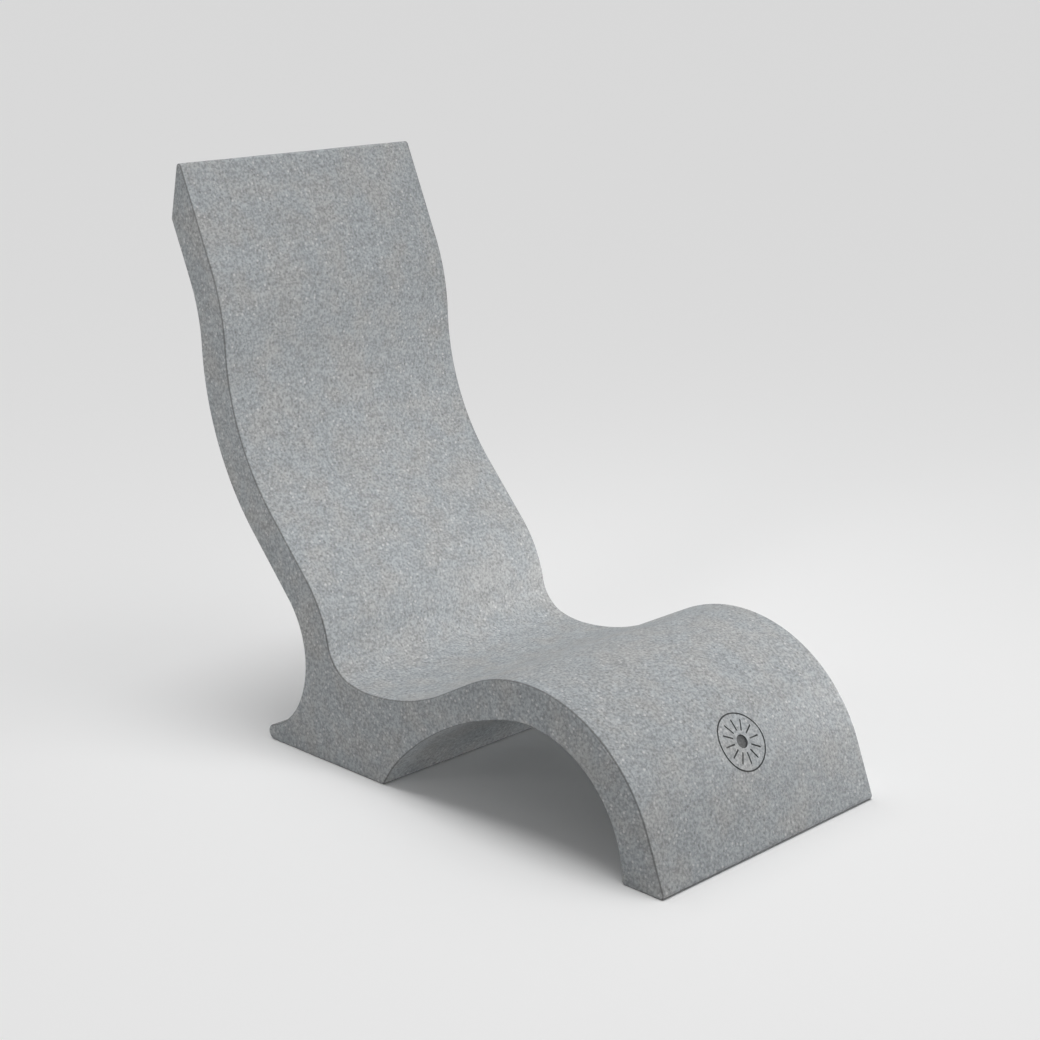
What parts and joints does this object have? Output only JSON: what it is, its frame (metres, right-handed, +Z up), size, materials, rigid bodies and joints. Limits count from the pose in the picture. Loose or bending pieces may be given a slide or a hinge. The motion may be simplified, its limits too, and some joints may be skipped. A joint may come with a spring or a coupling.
{
  "type": "pool lounge chair",
  "caption": "Low S-shaped lounge chair for pool ledges: a hollow moulded ribbon with a knee arch, a tall curved back and screw plugs for water ballast.",
  "frame": {"origin": "on the floor, under the centre of the chair's bounding box", "axes": "+Z up, the sitter faces -Y and the ports face +Y, +X across the width with the chair symmetric about X = 0"},
  "size_m": [0.508, 1.1008, 0.958],
  "materials": {
    "stone_look_polyethylene": "matte, stone-look flecks",
    "insert_plastic": "fine moulded",
    "plug_plastic": "fine moulded",
    "gasket_rubber": "matte"
  },
  "bodies": {
    "shell": {"moulded_shell": "stone_look_polyethylene", "upper_port_insert": "insert_plastic", "lower_port_insert": "insert_plastic"},
    "upper_gasket": {"upper_port_gasket": "gasket_rubber"},
    "upper_plug": {"upper_port_plug": "plug_plastic"},
    "lower_gasket": {"lower_port_gasket": "gasket_rubber"},
    "lower_plug": {"lower_port_plug": "plug_plastic"}
  },
  "joints": [
    {"name": "upper_plug_turn", "type": "hinge", "parent": "upper_gasket", "child": "upper_plug", "pos_m": [0, 0.47332, 0.65843], "axis": [0, 1, 0], "range_deg": [0, 1170]},
    {"name": "upper_plug_travel", "type": "slide", "parent": "shell", "child": "upper_gasket", "axis": [0, 1, 0], "range_m": [0, 0.013]},
    {"name": "lower_plug_turn", "type": "hinge", "parent": "lower_gasket", "child": "lower_plug", "pos_m": [0, 0.22611, 0.16], "axis": [0, 1, 0], "range_deg": [0, 1170]},
    {"name": "lower_plug_travel", "type": "slide", "parent": "shell", "child": "lower_gasket", "axis": [0, 1, 0], "range_m": [0, 0.013]}
  ],
  "couplings": [
    {"joint": "upper_plug_travel", "follows": "upper_plug_turn", "m_per_rad": 0.00063662},
    {"joint": "lower_plug_travel", "follows": "lower_plug_turn", "m_per_rad": 0.00063662}
  ]
}
